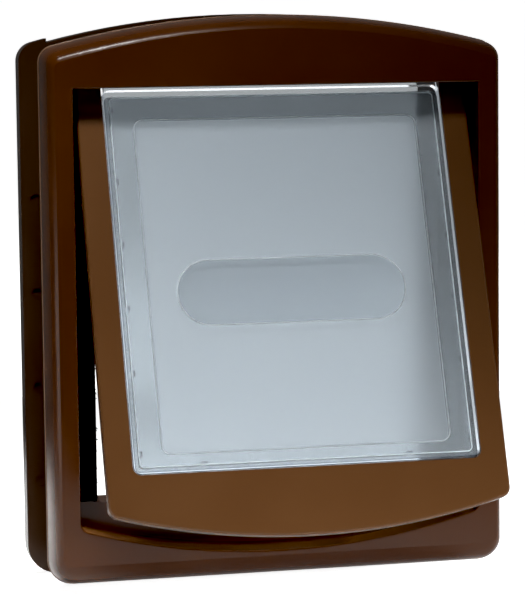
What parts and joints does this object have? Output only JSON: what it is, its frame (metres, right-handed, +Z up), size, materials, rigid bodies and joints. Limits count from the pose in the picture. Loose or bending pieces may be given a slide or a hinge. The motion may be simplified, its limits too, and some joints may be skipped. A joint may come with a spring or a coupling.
{
  "type": "cat flap",
  "caption": "Two-way cat flap for a door: arched frames joined by a tunnel, a hinged surround that opens outwards and a frosted panel that swings inwards, with a sill lock.",
  "frame": {"origin": "middle of the four fixing screws on the outer face of the door", "axes": "+X right seen from outside, +Y through the door to the inside, +Z up"},
  "size_m": [0.203, 0.119, 0.2412],
  "materials": {
    "brown_plastic": "polished dark brown moulding",
    "clear_plastic": "clear moulding with a frosted field",
    "magnet": "sintered grey",
    "steel": "zinc plated",
    "pile": "woven pile",
    "black_plastic": "fine matt"
  },
  "bodies": {
    "frame": {"outer_frame": "brown_plastic", "inner_frame": "brown_plastic", "striker_plate": "steel", "hinge_rod": "steel", "draught_strip_left": "pile", "draught_strip_right": "pile", "rod_cap_left": "black_plastic", "rod_cap_right": "black_plastic", "lock_guide": "brown_plastic", "fixing_screws": "steel", "screw_caps": "brown_plastic"},
    "surround": {"flap_surround": "brown_plastic", "flap_magnet": "magnet"},
    "panel": {"flap_panel": "clear_plastic"},
    "lock": {"lock_bolt": "brown_plastic"}
  },
  "joints": [
    {"name": "surround_hinge", "type": "hinge", "parent": "frame", "child": "surround", "pos_m": [0, 0, 0.0953], "axis": [-1, 0, 0], "range_deg": [-20, 40]},
    {"name": "panel_hinge", "type": "hinge", "parent": "surround", "child": "panel", "pos_m": [0, 0, 0.0953], "axis": [-1, 0, 0], "range_deg": [-70, 0]},
    {"name": "lock_slide", "type": "slide", "parent": "frame", "child": "lock", "axis": [0, 0, 1], "range_m": [0, 0.006]}
  ]
}
